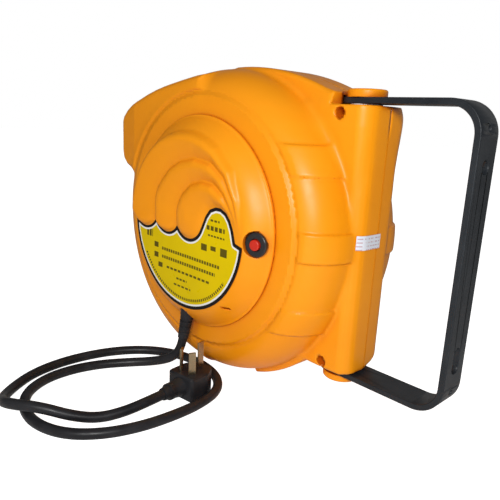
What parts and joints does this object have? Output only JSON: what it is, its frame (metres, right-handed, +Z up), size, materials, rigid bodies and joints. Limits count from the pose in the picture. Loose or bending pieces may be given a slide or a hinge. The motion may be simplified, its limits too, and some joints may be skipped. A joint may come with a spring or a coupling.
{
  "type": "extension cord reel",
  "caption": "Wall-mounted retractable extension cord reel: orange drum housing with a cable hood, post on a black swivel bracket, round labelled cover, reset breaker and supply cord with plug.",
  "frame": {"origin": "centre of the reel's footprint on the plane it stands on, measured without the supply cord and plug", "axes": "+X from the cable hood towards the wall bracket, -Y towards the labelled cover, +Z up"},
  "size_m": [0.3835, 0.3302, 0.2921],
  "materials": {
    "orange_shell": "satin",
    "orange_cover": "satin",
    "orange_cap": "satin",
    "screw_steel": "satin",
    "screw_brass": "satin",
    "label_film": "satin",
    "sticker_paper": "matt",
    "black_plastic": "satin",
    "red_plastic": "gloss",
    "cream_plastic": "matt",
    "soft_black": "matt",
    "cord_jacket": "satin",
    "plug_black": "satin",
    "pin_brass": "satin",
    "shaft_steel": "satin",
    "bush_white": "satin",
    "spool_grey": "satin",
    "spring_steel": "satin",
    "insulator_brown": "satin",
    "carbon": "matt",
    "pawl_steel": "satin",
    "frame_black": "satin",
    "roller_white": "satin",
    "bracket_paint": "satin"
  },
  "bodies": {
    "housing": {"housing_left": "orange_shell", "housing_right": "orange_shell", "housing_screws": "screw_steel", "bush_screws": "screw_steel", "terminal_cover": "orange_cover", "terminal_cover_screws": "screw_steel", "rating_label": "label_film", "tension_cover": "orange_cover", "tension_cover_screws": "screw_steel", "inspection_sticker": "sticker_paper", "breaker_body": "black_plastic", "breaker_collar": "black_plastic", "terminal_block": "cream_plastic", "terminal_screws": "screw_brass", "supply_gland": "soft_black", "supply_cord": "cord_jacket", "plug_body": "plug_black", "plug_pins": "pin_brass", "main_shaft": "shaft_steel", "shaft_nut": "shaft_steel", "shaft_anchor": "shaft_steel", "spring_arbor": "shaft_steel", "mainspring": "spring_steel", "brush_holder": "insulator_brown", "brushes": "carbon", "brush_springs": "spring_steel", "pawl_pin": "shaft_steel", "pawl_spring": "spring_steel", "outlet_frame": "frame_black", "roller_pins": "shaft_steel", "upper_pivot_bush": "bush_white", "lower_pivot_bush": "bush_white"},
    "bracket": {"wall_bracket": "bracket_paint", "pivot_rod": "shaft_steel", "pivot_nuts": "shaft_steel", "upper_pivot_cap": "orange_cap", "lower_pivot_cap": "orange_cap"},
    "spool": {"spool_bush_left": "bush_white", "spool_bush_right": "bush_white", "spool_hub": "spool_grey", "spool_flange_left": "spool_grey", "spool_flange_right": "spool_grey", "wound_cable": "cord_jacket", "spring_case": "spool_grey", "spring_case_lid": "spool_grey", "slip_ring_disc": "insulator_brown", "slip_rings": "pin_brass", "ratchet_ring": "spool_grey"},
    "button": {"reset_button": "red_plastic"},
    "pawl": {"pawl": "pawl_steel"},
    "roller_lower": {"guide_roller_lower": "roller_white"},
    "roller_upper": {"guide_roller_upper": "roller_white"},
    "roller_left": {"guide_roller_left": "roller_white"},
    "roller_right": {"guide_roller_right": "roller_white"}
  },
  "joints": [
    {"name": "bracket_swivel", "type": "hinge", "parent": "housing", "child": "bracket", "pos_m": [0.09, 0, 0.15], "axis": [0, 0, 1], "range_deg": [-90, 90]},
    {"name": "spool_spin", "type": "hinge", "parent": "housing", "child": "spool", "pos_m": [-0.039, 0, 0.15], "axis": [0, 1, 0], "continuous": true},
    {"name": "reset_press", "type": "slide", "parent": "housing", "child": "button", "axis": [-0.2079, 0.9781, 0], "range_m": [0, 0.0025], "stiffness_N_per_m": 400},
    {"name": "pawl_swing", "type": "hinge", "parent": "housing", "child": "pawl", "pos_m": [-0.13257, -0.044, 0.11473], "axis": [0, 1, 0], "range_deg": [0, 17], "stiffness_Nm_per_rad": 0.05},
    {"name": "lower_roller_spin", "type": "hinge", "parent": "housing", "child": "roller_lower", "pos_m": [-0.184, 0, 0.2132], "axis": [0, 1, 0], "continuous": true},
    {"name": "upper_roller_spin", "type": "hinge", "parent": "housing", "child": "roller_upper", "pos_m": [-0.184, 0, 0.2298], "axis": [0, 1, 0], "continuous": true},
    {"name": "left_roller_spin", "type": "hinge", "parent": "housing", "child": "roller_left", "pos_m": [-0.1755, -0.0215, 0.2215], "axis": [0, 0, 1], "continuous": true},
    {"name": "right_roller_spin", "type": "hinge", "parent": "housing", "child": "roller_right", "pos_m": [-0.1755, 0.0215, 0.2215], "axis": [0, 0, 1], "continuous": true}
  ]
}
